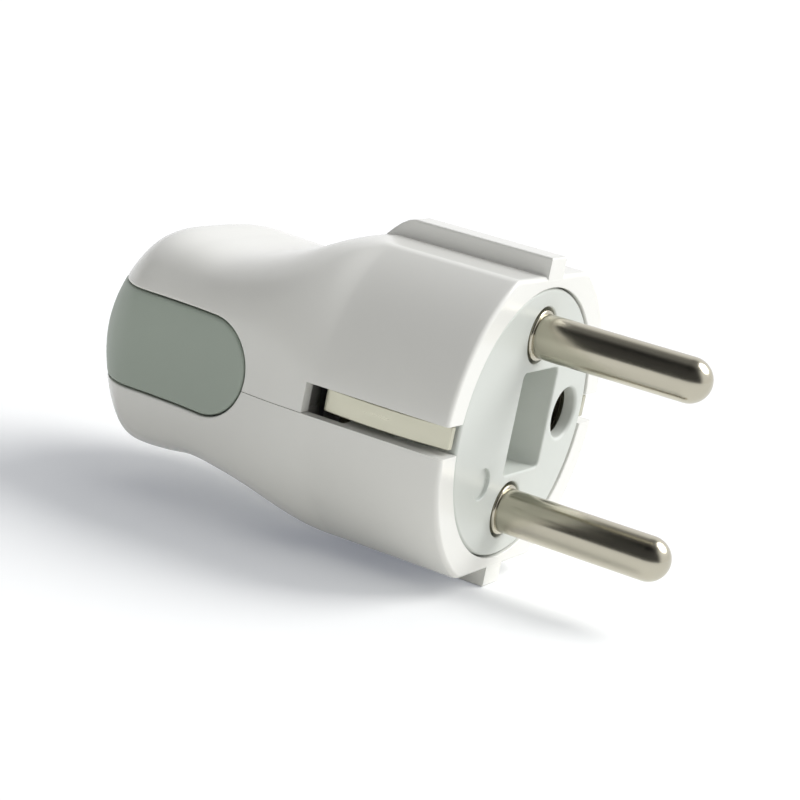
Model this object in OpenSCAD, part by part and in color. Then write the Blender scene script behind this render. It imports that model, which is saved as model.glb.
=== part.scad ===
// Type F plug with side earth contacts, in two moulded shells.
// The pins point along +X, the engagement face is at X = 0, the earth hole is at +Y.

/* [Front] */
// Distance from the middle of a pin to the outside of the front collar
collar_margin = 8.4; // [8:0.1:8.6]
// Depth of the flats below the round collar
flat_cut = 2.04; // [1.7:0.02:2.2]
// Wall of the front ring, from the carrier to the outside
ring_wall = 3.4; // [3.3:0.1:3.6]
// Width of the guide ribs
rib_w = 3.5; // [3:0.1:4]
// Length of a guide rib along its crest
rib_len = 16.4; // [15:0.1:17]
// Length of the ramp behind a guide rib
rib_ramp = 3.1; // [2:0.1:4]
// Depth of the carrier behind its face
carrier_depth = 12.6; // [12:0.1:13]
// Front wall of the carrier
carrier_wall = 3; // [2.4:0.1:3.4]
// Gap between pieces that aren't pressed together
part_gap = 0.3; // [0.25:0.01:0.35]

/* [Pins and earth] */
// Radius of a contact pin
pin_r = 2.4; // [2.3:0.05:2.45]
// Free length of a contact pin
pin_len = 19; // [18.5:0.1:19.5]
// Distance between the two pin centres
pin_spacing = 19; // [18.8:0.1:19.2]
// Radius of the collar at the root of a pin
pin_collar_r = 2.75; // [2.6:0.05:2.9]
// Radius of the flange that holds a pin in the carrier
pin_flange_r = 3.7; // [3.5:0.05:3.8]
// Radius of the tubular terminal behind a pin
terminal_r = 3.5; // [3.3:0.05:3.6]
// How far the terminals reach out behind the carrier
terminal_reach = 4.4; // [4:0.1:4.4]
// How much further from the middle the earth hole is than a pin
earth_shift = 0.5; // [0.4:0.05:0.6]
// Bore radius of the earth socket
earth_bore_r = 2.45; // [2.4:0.05:2.5]
// Radius of the earth hole in the carrier
earth_hole_r = 2.8; // [2.7:0.05:2.9]
// Height of an earth contact slot
slot_h = 3.25; // [3.1:0.05:3.4]
// How far an earth contact slot reaches past the carrier's back
slot_reach = 3.9; // [3.4:0.1:4.2]
// Width of an earth contact
contact_w = 2.4; // [2.2:0.05:2.6]
// How far an earth contact lies below the round collar
contact_set = 1.7; // [1.5:0.1:1.9]

/* [Face] */
// Width of the pocket in the face
pocket_w = 8.2; // [7.8:0.1:8.4]
// Height of the pocket in the face
pocket_h = 11.1; // [10.5:0.1:11.3]
// Depth of the pocket in the face
pocket_depth = 5; // [4.5:0.1:5.5]
// Sideways offset of the pocket
pocket_y = 1.9; // [1.7:0.1:2.1]
// Radius of the moulding dimple in the face
dimple_r = 1.7; // [1.5:0.1:1.9]

/* [Handle] */
// Overall length of the body behind the face
body_len = 46.6; // [45:0.1:47.5]
// How far the middle of the handle sits below the pins
handle_drop = 1.05; // [0.9:0.05:1.1]
// Height of a grip pad
pad_h = 10.4; // [9:0.1:10.8]
// Length of a grip pad, from its round front to the cord end
pad_len = 22.3; // [20:0.1:22.8]
// Radius of the cord that the bush takes
cord_r = 4.1; // [3.9:0.1:4.2]

/* [Hidden] */
overrun = 1;
facet_count = 60;
rings_per_step = 2;
fine = 64;
small = 32;

// Stations of the handle as shares of its length, with half width, half height, corner value and drop.
station_shares = [0.314, 0.379, 0.433, 0.476, 0.519, 0.606, 0.693, 0.779, 0.866, 0.918, 0.959, 0.985, 1];
width_shares = [1, 1, 0.993, 0.979, 0.963, 0.925, 0.888, 0.868, 0.858, 0.795, 0.7, 0.62, 0.56];
height_shares = [1, 0.966, 0.882, 0.812, 0.752, 0.684, 0.645, 0.663, 0.681, 0.645, 0.581, 0.52, 0.465];
corner_shares = [1, 1.165, 1.4, 1.6, 1.74, 1.8, 1.8, 1.8, 1.6, 1.31, 1.11, 1.03, 0.98];
drop_shares = [0, 0, 0.055, 0.143, 0.259, 0.536, 0.801, 0.974, 1, 1, 1, 1, 1];

pin_z = pin_spacing / 2;
earth_y = pin_z + earth_shift;
collar_r = pin_z + collar_margin;
flat_half = collar_r - flat_cut;
carrier_r = collar_r - ring_wall;
contact_y = collar_r - contact_set;
terminal_end = carrier_depth + terminal_reach;
slot_len = carrier_depth + slot_reach;
collar_lap = 0.2;
collar_len = body_len * station_shares[0] + collar_lap;
collar_edge = 0.4;
loft_inset = 0.06;
rib_lap = 2;
ramp_drop = 2.3;
ramp_share = 0.35;

wall = 1.7;
flange_front = 5;
flange_len = 2;
flange_lip = 1.2;
flange_r = carrier_r + flange_lip;
flange_half = 9;
cavity_wall = 1.5;
cavity_reach = 1.1;
cavity_r = collar_r - cavity_wall;
carrier_rim = 1.8;
tower_wall = 1.2;
pocket_wall = 1.4;
pocket_round = 0.6;
hole_chamfer = 0.4;
dimple_depth = 0.4;
dimple_y = -7;
dimple_z = -5.75;
face_set = 0.15;
face_edge = 0.3;
seam_z = -slot_h / 2;
pin_flange_len = 1.4;
wire_r = 1.9;
wire_depth = 9;
screw_set = 4;
screw_x = terminal_end - screw_set;
screw_r = 1.5;
screw_head_r = 2.6;
screw_head_len = 1.6;
screw_slot_w = 0.8;
screw_slot_depth = 0.7;
screw_lift = 0.4;
window_depth = 4.4;
leaf_t = 0.4;
leaf_w = 2.2;
leaf_y = 1.2;
leaf_len = 6.4;
leaf_head = 0.3;

contact_t = 1;
contact_front = 0.3;
contact_z = 0.12;
bridge_t = 1.4;
bridge_set = 2.2;
bridge_half = contact_y - bridge_set;
bridge_h = 7.6;
foot_margin = 2.8;
foot_in = earth_y - foot_margin;
socket_wall = 1;
socket_front = 1.6;
spigot_r = 1.7;
spigot_hole_gap = 0.3;
spigot_head_r = 2.6;
spigot_head_t = 0.8;
rivet_r = 1.3;
rivet_head_r = 2.3;
rivet_head_t = 0.8;
earth_plate_w = 6.4;
earth_plate_t = 1.2;
earth_screw_head_r = 2.8;
earth_screw_len = 4.4;

housing_head_r = 2.2;
housing_head_len = 1.8;
housing_recess_gap = 0.3;
recess_r = housing_head_r + housing_recess_gap;
front_boss_wall = 1.15;
boss_wall = 0.8;
front_screw_x = terminal_end + part_gap / 2 + front_boss_wall + recess_r;
front_screw_y = 8.2;
front_recess_z = -6.4;
rear_recess_z = -6.2;
housing_screw_top = 6;
housing_hole_top = 6.8;

// The hollow handle: a neck between the front screws, then the room. Its length behind the terminals is shared.
inner_len = body_len - terminal_end;
clamp_place_share = 0.4795;
room_back_share = 0.6335;
bush_front_share = 0.702;
neck_height_share = 0.637;
room_width_share = 0.67;
room_height_share = 0.514;
room_round_share = 0.749;
neck_w = front_screw_y - recess_r - boss_wall;
neck_half = collar_r * neck_height_share;
neck_back = front_screw_x + recess_r + boss_wall;
neck_round_r = carrier_r - part_gap;
room_half_w = collar_r * room_width_share;
room_half_h = collar_r * room_height_share;
room_back = terminal_end + inner_len * room_back_share;
room_round_r = collar_r * room_round_share;
bush_front = terminal_end + inner_len * bush_front_share;
bush_r = 5.6;
bush_flange_r = 7;
bush_flange_set = 5.2;
bush_flange_front = body_len - bush_flange_set;
bush_flange_len = 1.6;
bush_back_set = 0.2;
bush_back = body_len - bush_back_set;
bush_lead = 0.5;
rear_screw_x = room_back + boss_wall + recess_r;
rear_screw_y = 8.9;

clamp_x = terminal_end + inner_len * clamp_place_share;
clamp_w = 6;
clamp_half = 10.4;
clamp_t = 2;
clamp_arch_t = 1.8;
clamp_screw_y = 8.2;
clamp_post_r = 3;
clamp_tooth = 0.5;

pad_floor_share = 0.749;
pad_floor_rear_share = 0.559;
pad_floor = collar_r * pad_floor_share;
pad_floor_rear = collar_r * pad_floor_rear_share;
pad_start = body_len - pad_len;
pad_step_set = 4.2;
pad_step_x = body_len - pad_step_set;
pad_drop = 0.4;
pad_gap = 0.25;
body_round = collar_r + overrun;
pad_outer = body_round + overrun;

// A rod along X from its front to its back, both measured behind the face.
module rod(r, front, back, sides = fine) {
    translate([-back, 0, 0])
        rotate([0, 90, 0])
            cylinder(h = back - front, r = r, $fn = sides);
}

// A box between two distances behind the face, centred on Y and Z.
module slab(front, back, width, height) {
    translate([-back, -width / 2, -height / 2])
        cube([back - front, width, height]);
}

// Smooth value between two entries of a list, by the slopes at its neighbours.
function slope(list, i) =
    i == 0 || i == len(list) - 1
    ? 0
    : (list[i + 1] - list[i - 1]) / (station_shares[i + 1] - station_shares[i - 1]);
function between(list, i, t) =
    let (h = station_shares[i + 1] - station_shares[i])
    (2 * pow(t, 3) - 3 * pow(t, 2) + 1) * list[i]
    + (pow(t, 3) - 2 * pow(t, 2) + t) * h * slope(list, i)
    + (3 * pow(t, 2) - 2 * pow(t, 3)) * list[i + 1]
    + (pow(t, 3) - pow(t, 2)) * h * slope(list, i + 1);
function power(v, e) = sign(v) * pow(abs(v), e);
function section(i, t) =
    let (x = -body_len * (station_shares[i] * (1 - t) + station_shares[i + 1] * t))
    let (a = (collar_r - loft_inset) * between(width_shares, i, t))
    let (b = (collar_r - loft_inset) * between(height_shares, i, t))
    let (e = 1 / between(corner_shares, i, t))
    let (drop = handle_drop * between(drop_shares, i, t))
    [for (k = [0 : facet_count - 1])
        let (u = 360 * (k + 1 / 2) / facet_count)
        [x, a * power(cos(u), e), b * power(sin(u), e) - drop]];

// The handle, from inside the collar to the cord end.
module handle_form() {
    steps = len(station_shares) - 1;
    rings = [for (i = [0 : steps - 1]) for (j = [0 : rings_per_step - 1]) section(i, j / rings_per_step)];
    all_rings = concat(rings, [section(steps - 1, 1)]);
    last = len(all_rings) - 1;
    points = [for (ring = all_rings) for (p = ring) p];
    sides = [for (r = [0 : last - 1]) for (k = [0 : facet_count - 1])
        let (n = (k + 1) % facet_count)
        let (a = r * facet_count + k)
        let (b = r * facet_count + n)
        each [[a, b, b + facet_count], [a, b + facet_count, a + facet_count]]];
    front = [for (k = [facet_count - 1 : -1 : 0]) k];
    back = [for (k = [0 : facet_count - 1]) last * facet_count + k];
    polyhedron(points = points, faces = concat([front], sides, [back]), convexity = 4);
}

// The collar with its rounded front edge.
module collar_form() {
    rotate([0, -90, 0])
        rotate_extrude($fn = fine)
            polygon([[0, 0], [collar_r - collar_edge, 0], [collar_r, collar_edge],
                [collar_r, collar_len], [0, collar_len]]);
}

// A guide rib along the top, with its ramp down to the flat.
module guide_rib() {
    intersection() {
        translate([0, rib_w / 2, 0])
            rotate([90, 0, 0])
                linear_extrude(rib_w)
                    polygon([[0, flat_half - rib_lap], [0, collar_r + overrun],
                        [-rib_len, collar_r + overrun], [-rib_len, collar_r],
                        [-rib_len - rib_ramp / 2, collar_r - ramp_drop * ramp_share],
                        [-rib_len - rib_ramp, collar_r - ramp_drop],
                        [-rib_len - rib_ramp, flat_half - rib_lap]]);
        rotate([0, -90, 0])
            rotate_extrude($fn = fine)
                polygon([[0, 0], [collar_r - collar_edge, 0], [collar_r, collar_edge],
                    [collar_r, rib_len + rib_ramp + overrun], [0, rib_len + rib_ramp + overrun]]);
    }
}

// The outside of the closed body.
module body_form() {
    intersection() {
        union() {
            collar_form();
            handle_form();
        }
        slab(-overrun, body_len + overrun, 2 * body_round, 2 * flat_half);
    }
    guide_rib();
    mirror([0, 0, 1])
        guide_rib();
}

// The room for the carrier, the terminals, the cord clamp and the bush.
module body_room() {
    rod(carrier_r + part_gap, -overrun, flange_front + overrun);
    intersection() {
        rod(flange_r + part_gap, flange_front, flange_front + flange_len + part_gap);
        slab(0, body_len, 2 * body_round, 2 * (flange_half + part_gap));
    }
    intersection() {
        rod(carrier_r + part_gap, flange_front, terminal_end + part_gap / 2);
        slab(0, body_len, 2 * body_round, 2 * (flat_half - wall));
    }
    intersection() {
        rod(carrier_r + part_gap, flange_front, carrier_depth + part_gap);
        slab(0, body_len, 2 * body_round, 2 * body_round);
    }
    intersection() {
        rod(cavity_r, carrier_depth - part_gap, slot_len + cavity_reach);
        slab(0, body_len, 2 * body_round, bridge_h + 2 * part_gap);
    }
    intersection() {
        rod(neck_round_r, terminal_end, neck_back + overrun);
        slab(terminal_end, neck_back + overrun, 2 * neck_w, 2 * neck_half);
    }
    translate([0, 0, -handle_drop])
        intersection() {
            rod(room_round_r, neck_back, room_back);
            slab(neck_back, room_back, 2 * room_half_w, 2 * room_half_h);
        }
    translate([0, 0, -handle_drop]) {
        rod(bush_r + part_gap, room_back - overrun, body_len + overrun);
        rod(bush_flange_r + part_gap, bush_flange_front, bush_flange_front + bush_flange_len);
    }
    for (side = [-1, 1])
        translate([0, side * collar_r, 0])
            slab(-overrun, slot_len, 2 * (collar_r - carrier_r), slot_h);
}

// The outline of a grip pad seen from the side, grown by a margin.
module pad_outline(margin) {
    r = pad_h / 2 + margin;
    translate([0, pad_outer, -pad_drop])
        rotate([90, 0, 0])
            linear_extrude(2 * pad_outer) {
                translate([-pad_start - pad_h / 2, 0])
                    circle(r = r, $fn = fine);
                translate([-body_len - overrun, -r])
                    square([body_len + overrun - pad_start - pad_h / 2, 2 * r]);
            }
}

// The seats of the grip pads, which step inwards at the cord end.
module pad_space(side, margin) {
    intersection() {
        pad_outline(margin);
        union() {
            translate([-body_len - overrun, side > 0 ? pad_floor : -pad_floor - pad_outer, -pad_outer])
                cube([body_len + overrun - pad_start + margin, pad_outer, 2 * pad_outer]);
            translate([-body_len - overrun, side > 0 ? pad_floor_rear : -pad_floor_rear - pad_outer, -pad_outer])
                cube([body_len + overrun - pad_step_x + margin, pad_outer, 2 * pad_outer]);
        }
    }
}

// Places what it is given at the two screws of one row.
module at_screws(x, y) {
    for (side = [-1, 1])
        translate([-x, side * y, 0])
            children();
}

// The shank holes and head recesses of the housing screws.
module housing_holes() {
    depth = 2 * flat_half;
    at_screws(front_screw_x, front_screw_y) {
        translate([0, 0, front_recess_z - overrun])
            cylinder(h = housing_hole_top - front_recess_z + overrun, r = screw_r + part_gap, $fn = small);
        translate([0, 0, front_recess_z - depth])
            cylinder(h = depth, r = recess_r, $fn = small);
    }
    at_screws(rear_screw_x, rear_screw_y) {
        translate([0, 0, rear_recess_z - overrun])
            cylinder(h = housing_hole_top - rear_recess_z + overrun, r = screw_r + part_gap, $fn = small);
        translate([0, 0, rear_recess_z - depth])
            cylinder(h = depth, r = recess_r, $fn = small);
    }
}

// Everything that is cut from the closed body, both shells alike.
module body_cuts() {
    body_room();
    housing_holes();
    pad_space(-1, pad_gap);
    pad_space(1, pad_gap);
}

module housing_upper() {
    color([0.93, 0.93, 0.92])
        difference() {
            intersection() {
                body_form();
                translate([-body_len - overrun, -body_round, seam_z])
                    cube([body_len + 2 * overrun, 2 * body_round, collar_r + overrun - seam_z]);
            }
            body_cuts();
        }
}

module housing_lower() {
    color([0.93, 0.93, 0.92])
        difference() {
            union() {
                difference() {
                    intersection() {
                        body_form();
                        translate([-body_len - overrun, -body_round, -collar_r - overrun])
                            cube([body_len + 2 * overrun, 2 * body_round, seam_z + collar_r + overrun]);
                    }
                    body_cuts();
                }
                clamp_posts();
            }
            clamp_screw_holes();
        }
}

// The posts that the cord clamp is screwed to, standing on the floor of the lower shell.
module clamp_posts() {
    floor_z = -handle_drop - room_half_h - part_gap;
    at_screws(clamp_x, clamp_screw_y)
        translate([0, 0, floor_z])
            cylinder(h = seam_z - floor_z, r = clamp_post_r, $fn = small);
}

module clamp_screw_holes() {
    hole_depth = 6.4;
    at_screws(clamp_x, clamp_screw_y)
        translate([0, 0, seam_z - hole_depth])
            cylinder(h = hole_depth + overrun, r = screw_r + part_gap, $fn = small);
}

// The grey insert with the pin towers, the earth tower, the pocket and the flange.
module pin_carrier() {
    color([0.84, 0.86, 0.85])
        difference() {
            union() {
                rotate([0, -90, 0])
                    rotate_extrude($fn = fine)
                        polygon([[0, face_set], [carrier_r - face_edge, face_set],
                            [carrier_r, face_set + face_edge], [carrier_r, carrier_depth],
                            [carrier_r - carrier_rim, carrier_depth],
                            [carrier_r - carrier_rim, carrier_wall], [0, carrier_wall]]);
                intersection() {
                    rod(flange_r, flange_front, flange_front + flange_len);
                    slab(0, body_len, 2 * body_round, 2 * flange_half);
                    difference() {
                        slab(0, body_len, 2 * body_round, 2 * body_round);
                        slab(0, body_len, 2 * (carrier_r - carrier_rim / 2), 2 * body_round);
                    }
                }
                intersection() {
                    union() {
                        for (side = [-1, 1])
                            translate([0, 0, side * pin_z])
                                rod(pin_flange_r + part_gap + tower_wall, carrier_wall / 2, carrier_depth);
                        translate([0, earth_y, 0])
                            rod(earth_bore_r + socket_wall + part_gap + tower_wall, carrier_wall / 2, carrier_depth);
                        translate([0, pocket_y, 0])
                            slab(carrier_wall / 2, pocket_depth + pocket_wall,
                                pocket_w + 2 * pocket_wall, pocket_h);
                    }
                    rod(carrier_r - carrier_rim / 2, 0, carrier_depth);
                }
            }
            for (side = [-1, 1])
                translate([0, 0, side * pin_z]) {
                    rod(pin_collar_r + part_gap, -overrun, carrier_wall + overrun);
                    rod(pin_flange_r + part_gap, carrier_wall, carrier_depth + overrun);
                    translate([0, -terminal_r - window_depth / 2, 0])
                        slab(screw_x - screw_head_r - part_gap, carrier_depth + overrun,
                            window_depth, 2 * (screw_head_r + part_gap));
                }
            translate([0, earth_y, 0]) {
                rod(earth_hole_r, -overrun, carrier_depth);
                rod(earth_bore_r + socket_wall + part_gap, socket_front, carrier_depth + overrun);
                rotate([0, -90, 0])
                    rotate_extrude($fn = fine)
                        polygon([[0, 0], [earth_hole_r + hole_chamfer, 0],
                            [earth_hole_r + hole_chamfer, face_set],
                            [earth_hole_r, face_set + hole_chamfer], [0, face_set + hole_chamfer]]);
            }
            pocket_cut();
            translate([0, dimple_y, dimple_z])
                rod(dimple_r, -overrun, face_set + dimple_depth);
            for (side = [-1, 1])
                translate([0, side * collar_r, 0])
                    slab(-overrun, carrier_depth + overrun, 2 * (collar_r - contact_y + contact_t + part_gap),
                        slot_h + part_gap);
        }
}

module pocket_cut() {
    translate([0, pocket_y, 0]) {
        slab(-overrun, pocket_depth, pocket_w, pocket_h - 2 * pocket_round);
        slab(-overrun, pocket_depth, pocket_w - 2 * pocket_round, pocket_h);
        for (y = [-1, 1])
            for (z = [-1, 1])
                translate([0, y * (pocket_w / 2 - pocket_round), z * (pocket_h / 2 - pocket_round)])
                    rod(pocket_round, -overrun, pocket_depth, small);
    }
}

// A pin in one piece with its collar, its flange and the tubular terminal.
module pin(side) {
    tip_x = pin_len - pin_r;
    translate([0, 0, side * pin_z])
        difference() {
            union() {
                rotate([0, 90, 0])
                    cylinder(h = tip_x, r = pin_r, $fn = fine);
                translate([tip_x, 0, 0])
                    sphere(r = pin_r, $fn = fine);
                rod(pin_collar_r, 0, carrier_wall);
                rod(pin_flange_r, carrier_wall, carrier_wall + pin_flange_len);
                rod(terminal_r, carrier_wall + pin_flange_len, terminal_end);
            }
            rod(wire_r, terminal_end - wire_depth, terminal_end + overrun);
            translate([-screw_x, 0, 0])
                rotate([90, 0, 0])
                    cylinder(h = terminal_r + overrun, r = screw_r + part_gap, $fn = small);
        }
}

module line_pin() {
    color([0.78, 0.77, 0.72])
        pin(1);
}

module neutral_pin() {
    color([0.78, 0.77, 0.72])
        pin(-1);
}

// A cheese-head screw that points along -Z from its origin under the head.
module cheese_screw(length, head_r, head_len) {
    difference() {
        union() {
            translate([0, 0, -length])
                cylinder(h = length, r = screw_r, $fn = small);
            cylinder(h = head_len, r = head_r, $fn = small);
        }
        translate([-head_r - overrun, -screw_slot_w / 2, head_len - screw_slot_depth])
            cube([2 * (head_r + overrun), screw_slot_w, screw_slot_depth + overrun]);
    }
}

// A terminal screw, with its tip on the wire guard.
module terminal_screw(side) {
    color([0.8, 0.8, 0.78])
        translate([-screw_x, -terminal_r - screw_lift, side * pin_z])
            rotate([90, 0, 0])
                cheese_screw(terminal_r + screw_lift - leaf_y, screw_head_r, screw_head_len);
}

module line_terminal_screw() {
    terminal_screw(1);
}

module neutral_terminal_screw() {
    terminal_screw(-1);
}

// A thin leaf inside the terminal that spreads the screw's load, with a tail behind it.
module wire_guard(side) {
    tail_t = leaf_t;
    color([0.82, 0.81, 0.76])
        translate([0, 0, side * pin_z]) {
            translate([-terminal_end - tail_t, -leaf_y, -leaf_w / 2])
                cube([leaf_len + tail_t, leaf_t, leaf_w]);
            translate([-terminal_end - tail_t, -terminal_r + leaf_head, -leaf_w / 2])
                cube([tail_t, terminal_r - leaf_head - leaf_y + leaf_t, leaf_w]);
        }
}

module line_wire_guard() {
    wire_guard(1);
}

module neutral_wire_guard() {
    wire_guard(-1);
}

// A side earth contact: a strip in the slot, with a foot behind the bridge.
module earth_contact(side) {
    bridge_back = carrier_depth + bridge_t;
    hole_r = side > 0 ? spigot_r + spigot_hole_gap : rivet_r + spigot_hole_gap;
    color([0.8, 0.79, 0.74])
        difference() {
            scale([1, side, 1])
                union() {
                    translate([-bridge_back - contact_t, contact_y - contact_t, contact_z - contact_w / 2])
                        cube([bridge_back + contact_t + contact_front, contact_t, contact_w]);
                    translate([-bridge_back - contact_t, foot_in, -bridge_h / 2 + contact_z])
                        cube([contact_t, bridge_half - foot_in, bridge_h - contact_z]);
                    translate([-bridge_back - contact_t, foot_in, contact_z - contact_w / 2])
                        cube([contact_t, contact_y - foot_in, contact_w]);
                }
            translate([0, side * earth_y, 0])
                rod(hole_r, carrier_depth, bridge_back + contact_t + overrun, small);
        }
}

module earth_contact_left() {
    earth_contact(-1);
}

module earth_contact_right() {
    earth_contact(1);
}

// The strip that joins both contacts, behind the carrier.
module earth_bridge() {
    color([0.8, 0.79, 0.74])
        difference() {
            slab(carrier_depth, carrier_depth + bridge_t, 2 * bridge_half, bridge_h);
            translate([0, earth_y, 0])
                rod(spigot_r + spigot_hole_gap, 0, body_len, small);
            translate([0, -earth_y, 0])
                rod(rivet_r + spigot_hole_gap, 0, body_len, small);
            rod(screw_r + part_gap, 0, body_len, small);
        }
}

module earth_rivet() {
    joint_back = carrier_depth + bridge_t + contact_t;
    color([0.8, 0.79, 0.74])
        translate([0, -earth_y, 0]) {
            rod(rivet_head_r, carrier_depth - rivet_head_t, carrier_depth, small);
            rod(rivet_r, carrier_depth - rivet_head_t, joint_back + rivet_head_t, small);
            rod(rivet_head_r, joint_back, joint_back + rivet_head_t, small);
        }
}

// The earth socket, riveted through the bridge by its own spigot.
module earth_socket() {
    joint_back = carrier_depth + bridge_t + contact_t;
    floor_x = carrier_depth - socket_wall;
    color([0.8, 0.79, 0.74])
        translate([0, earth_y, 0])
            difference() {
                union() {
                    rod(earth_bore_r + socket_wall, socket_front + part_gap, carrier_depth);
                    rod(spigot_r, floor_x, joint_back + spigot_head_t, small);
                    rod(spigot_head_r, joint_back, joint_back + spigot_head_t, small);
                }
                rod(earth_bore_r, 0, floor_x);
            }
}

module earth_clamp_plate() {
    bridge_back = carrier_depth + bridge_t;
    color([0.8, 0.79, 0.74])
        difference() {
            slab(bridge_back, bridge_back + earth_plate_t, earth_plate_w, earth_plate_w);
            rod(screw_r + part_gap, 0, body_len, small);
        }
}

module earth_terminal_screw() {
    plate_back = carrier_depth + bridge_t + earth_plate_t;
    color([0.8, 0.8, 0.78])
        translate([-plate_back, 0, 0])
            rotate([0, -90, 0])
                cheese_screw(earth_screw_len, earth_screw_head_r, screw_head_len);
}

// The saddle that holds the cord down between its two posts.
module cord_clamp() {
    arch_r = cord_r - clamp_tooth;
    color([0.84, 0.86, 0.85])
        difference() {
            union() {
                translate([-clamp_x - clamp_w / 2, -clamp_half, seam_z])
                    cube([clamp_w, 2 * clamp_half, clamp_t]);
                translate([0, 0, -handle_drop])
                    intersection() {
                        rod(arch_r + clamp_arch_t, clamp_x - clamp_w / 2, clamp_x + clamp_w / 2);
                        translate([-body_len, -collar_r, seam_z + handle_drop])
                            cube([body_len, 2 * collar_r, collar_r]);
                    }
            }
            translate([0, 0, -handle_drop]) {
                rod(arch_r, clamp_x - clamp_w, clamp_x + clamp_w);
            }
            at_screws(clamp_x, clamp_screw_y)
                translate([0, 0, seam_z - overrun])
                    cylinder(h = clamp_t + 2 * overrun, r = screw_r + part_gap, $fn = small);
        }
}

module cord_clamp_screw(side) {
    screw_len = 7.4;
    color([0.8, 0.8, 0.78])
        translate([-clamp_x, side * clamp_screw_y, seam_z + clamp_t])
            cheese_screw(screw_len, housing_head_r, screw_head_len);
}

module cord_clamp_screw_left() {
    cord_clamp_screw(-1);
}

module cord_clamp_screw_right() {
    cord_clamp_screw(1);
}

// The rubber bush in the cord entry, held by its flange.
module cord_bush() {
    color([0.5, 0.52, 0.52])
        translate([0, 0, -handle_drop])
            difference() {
                union() {
                    rod(bush_r, bush_front, bush_back);
                    rod(bush_flange_r, bush_flange_front, bush_flange_front + bush_flange_len);
                }
                rod(cord_r, bush_front - overrun, bush_back + overrun);
                translate([-bush_back, 0, 0])
                    rotate([0, 90, 0])
                        rotate_extrude($fn = fine)
                            polygon([[0, 0], [cord_r + bush_lead, 0], [cord_r, bush_lead], [0, bush_lead]]);
            }
}

module grip_pad(side) {
    color([0.52, 0.57, 0.53])
        intersection() {
            handle_form();
            pad_space(side, 0);
        }
}

module grip_pad_left() {
    grip_pad(-1);
}

module grip_pad_right() {
    grip_pad(1);
}

// Housing screws that come up from the lower shell.
module housing_screws(x, y, recess_z) {
    color([0.8, 0.8, 0.78])
        at_screws(x, y)
            translate([0, 0, recess_z])
                rotate([180, 0, 0])
                    cheese_screw(housing_screw_top - recess_z, housing_head_r, housing_head_len);
}

module housing_screws_front() {
    housing_screws(front_screw_x, front_screw_y, front_recess_z);
}

module housing_screws_rear() {
    housing_screws(rear_screw_x, rear_screw_y, rear_recess_z);
}

housing_upper();
housing_lower();
pin_carrier();
line_pin();
neutral_pin();
line_terminal_screw();
neutral_terminal_screw();
line_wire_guard();
neutral_wire_guard();
earth_contact_left();
earth_contact_right();
earth_bridge();
earth_rivet();
earth_socket();
earth_clamp_plate();
earth_terminal_screw();
cord_clamp();
cord_clamp_screw_left();
cord_clamp_screw_right();
cord_bush();
grip_pad_left();
grip_pad_right();
housing_screws_front();
housing_screws_rear();
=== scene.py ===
from math import cos, pi, radians, sin, sqrt

import bmesh
import bpy
import numpy as np
from mathutils import Matrix, Vector


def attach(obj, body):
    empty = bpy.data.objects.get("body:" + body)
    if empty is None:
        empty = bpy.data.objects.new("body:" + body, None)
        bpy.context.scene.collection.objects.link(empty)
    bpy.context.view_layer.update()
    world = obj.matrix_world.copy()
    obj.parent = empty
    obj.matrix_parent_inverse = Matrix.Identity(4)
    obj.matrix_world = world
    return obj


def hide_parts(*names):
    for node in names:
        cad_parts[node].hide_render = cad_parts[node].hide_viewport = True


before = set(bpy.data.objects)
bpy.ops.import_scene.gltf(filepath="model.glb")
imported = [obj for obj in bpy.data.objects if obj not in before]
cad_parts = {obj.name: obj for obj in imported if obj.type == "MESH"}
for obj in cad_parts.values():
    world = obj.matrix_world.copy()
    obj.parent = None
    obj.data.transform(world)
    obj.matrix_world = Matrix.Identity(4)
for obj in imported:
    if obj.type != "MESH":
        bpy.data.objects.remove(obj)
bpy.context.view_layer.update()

# Contact pins: solid brass rods, turned on a lathe with a round tip, a collar at the root and a flange,
# then nickel plated. They are held in the carrier by the flange, and their tubular ends take the wires.
mm = 0.001
pin_r = 2.4 * mm
pin_len = 19 * mm
pin_z = 9.5 * mm
pin_collar_r = 2.75 * mm
pin_flange_r = 3.7 * mm
pin_flange_x = -3 * mm
pin_flange_len = 1.4 * mm
pin_end = -17 * mm
terminal_r = 3.5 * mm
wire_bore_r = 1.9 * mm
wire_bore_len = 9 * mm
terminal_screw_x = -13 * mm
screw_hole_r = 1.8 * mm
turned_sides = 128
nickel_hex = "BDB8A8"
drawn_mm = 0.7


def linear(code):
    """Turns an sRGB hex colour to linear RGBA."""
    parts = [int(code[i:i + 2], 16) / 255 for i in (0, 2, 4)]
    return [c / 12.92 if c <= 0.04045 else ((c + 0.055) / 1.055) ** 2.4 for c in parts] + [1]


def node(tree, kind, inputs=None, links=None, **settings):
    """Adds a node to a tree, with its settings, its input values and its incoming links."""
    new = tree.nodes.new(kind)
    for name, value in settings.items():
        setattr(new, name, value)
    for name, value in (inputs or {}).items():
        new.inputs[name].default_value = value
    for name, source in (links or {}).items():
        tree.links.new(source, new.inputs[name])
    return new


def empty_material(name):
    """A material with nothing but its output, its Object coordinates and the shader."""
    made = bpy.data.materials.new(name)
    made.use_nodes = True
    tree = made.node_tree
    tree.nodes.clear()
    out = node(tree, "ShaderNodeOutputMaterial")
    shader = node(tree, "ShaderNodeBsdfPrincipled")
    tree.links.new(shader.outputs["BSDF"], out.inputs["Surface"])
    place = node(tree, "ShaderNodeTexCoord")
    return made, tree, shader, place.outputs["Object"]


def per_metre(size_mm):
    """Texture scale at which one period is this many millimetres."""
    return 1 / (size_mm * mm)


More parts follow.
